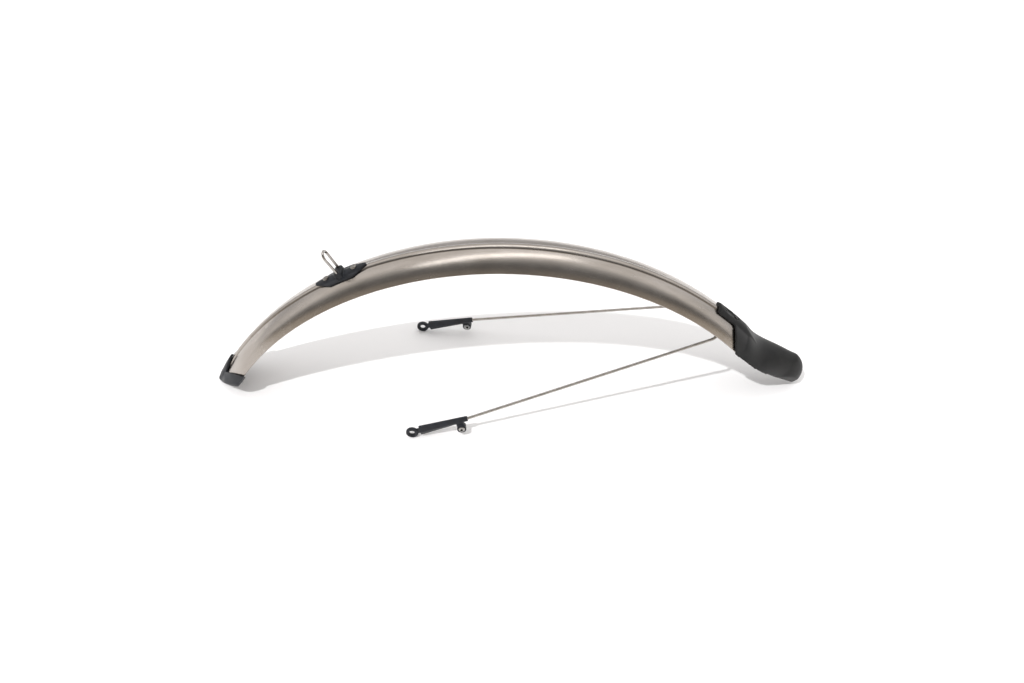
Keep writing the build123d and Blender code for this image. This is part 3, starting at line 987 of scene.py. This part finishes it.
@dataclass
class Studio:
    """Pale floor, soft light and the camera."""

    camera_place: Triple = (0.00867, -0.78292, 0.83526)
    camera_turn: Triple = (45.418, 0.0, 0.328)
    lens: float = 35.0
    sensor: float = 36.0
    sight: Span = (0.01, 50.0)
    floor_size: float = 8.0
    floor_drop: float = 0.0002
    key_from: Triple = (-0.395, -0.49, 1.0)
    key_distance: float = 2.0
    key_strength: float = 1.9
    key_breadth: float = 1.6
    overhead_place: Triple = (-0.1, 0.22, 1.75)
    overhead_aim: Triple = (0.0, 0.0, 0.1)
    overhead_size: tuple[float, float] = (1.8, 0.34)
    overhead_power: float = 4.35
    backdrop: Colour = (0.95, 0.95, 0.955)
    room_strength: float = 1.538
    fill: Tones = (
        (0.0, (0.34, 0.335, 0.33)),
        (0.25, (0.78, 0.77, 0.76)),
        (0.5, (1.38, 1.365, 1.35)),
        (0.72, (1.26, 1.245, 1.23)),
        (1.0, (0.38, 0.375, 0.37)),
    )
    room: Tones = (
        (0.0, (0.6, 0.56, 0.5)),
        (0.2, (0.34, 0.3, 0.255)),
        (0.27, (0.17, 0.16, 0.15)),
        (0.38, (0.12, 0.12, 0.122)),
        (0.47, (0.35, 0.345, 0.34)),
        (0.57, (0.82, 0.8, 0.785)),
        (0.66, (0.72, 0.705, 0.69)),
        (0.78, (0.66, 0.65, 0.645)),
        (0.9, (0.45, 0.45, 0.46)),
        (1.0, (0.38, 0.385, 0.4)),
    )

    def build(self) -> None:
        """Builds the whole studio."""
        self.set_colours()
        self.lay_floor()
        self.hang_lights()
        self.paint_surroundings()
        self.place_camera()

    def set_colours(self) -> None:
        """Shows colours as they are, with no film curve."""
        view = bpy.context.scene.view_settings
        view.view_transform = "Standard"
        view.look = "None"
        view.exposure = 0.0
        view.gamma = 1.0

    def lay_floor(self) -> None:
        """Lays the pale floor just under the object."""
        Workshop.clear_selection()
        bpy.ops.mesh.primitive_plane_add(
            size=self.floor_size, location=(0.0, 0.0, -self.floor_drop)
        )
        floor = bpy.context.object
        floor.name = "studio_floor"
        floor.data.materials.append(PaperFloor().make())

    def hang_lights(self) -> None:
        """Hangs a small key light at the front left and a broad soft light overhead."""
        direction = Vector(self.key_from).normalized()
        bpy.ops.object.light_add(type="SUN", location=direction * self.key_distance)
        key = bpy.context.object
        key.name = "key_light"
        key.rotation_euler = direction.to_track_quat("Z", "Y").to_euler()
        key.data.energy = self.key_strength
        key.data.angle = math.radians(self.key_breadth)
        key.visible_glossy = False
        bpy.ops.object.light_add(type="AREA", location=self.overhead_place)
        soft = bpy.context.object
        soft.name = "overhead_light"
        soft.data.shape = "RECTANGLE"
        soft.data.size, soft.data.size_y = self.overhead_size
        soft.data.energy = self.overhead_power
        soft.visible_diffuse = False
        aim = Vector(self.overhead_aim) - soft.location
        soft.rotation_euler = aim.to_track_quat("-Z", "Y").to_euler()

    def paint_surroundings(self) -> None:
        """Paints tones that follow the angle from the front, over the top, to the back.

        Gloss mirrors the room, matt surfaces are lit by the fill, and the backdrop shows behind.
        """
        world = bpy.data.worlds.new("studio_room")
        bpy.context.scene.world = world
        world.use_nodes = True
        sheet = RoomSheet(world.node_tree)
        _, y, z = sheet.split(sheet.add("ShaderNodeTexCoord").outputs["Generated"])
        front = sheet.math(Operation.MULTIPLY, y, -1.0)
        turn = sheet.math(Operation.ARCTAN2, z, front)
        share = sheet.math(Operation.DIVIDE, turn, math.pi)
        rays = sheet.add("ShaderNodeLightPath").outputs
        light = sheet.glow(sheet.ramp(share, self.room), self.room_strength)
        fill = sheet.glow(sheet.ramp(share, self.fill))
        light = sheet.choose(rays["Is Diffuse Ray"], light, fill)
        light = sheet.choose(rays["Is Camera Ray"], light, sheet.glow(self.backdrop))
        sheet.link(light, sheet.add("ShaderNodeOutputWorld").inputs["Surface"])

    def place_camera(self) -> None:
        """Sets the camera at the photograph's viewing angle."""
        data = bpy.data.cameras.new("studio_camera")
        data.lens = self.lens
        data.sensor_width = self.sensor
        data.clip_start, data.clip_end = self.sight
        camera = bpy.data.objects.new("studio_camera", data)
        bpy.context.scene.collection.objects.link(camera)
        camera.location = self.camera_place
        camera.rotation_euler = tuple(math.radians(turn) for turn in self.camera_turn)
        bpy.context.scene.camera = camera


def main() -> None:
    """Builds the sub-assemblies in order, then the studio."""
    logging.basicConfig(level=logging.INFO, format="%(name)s: %(message)s")
    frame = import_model()
    bpy.context.view_layer.update()
    palette = Palette()
    for assembly in (Blade, FrontCap, MudFlap, Stay, ForkBracket):
        assembly(frame["nodes"], palette).build()
    Studio().build()
    bpy.context.view_layer.update()


if __name__ == "__main__":
    main()
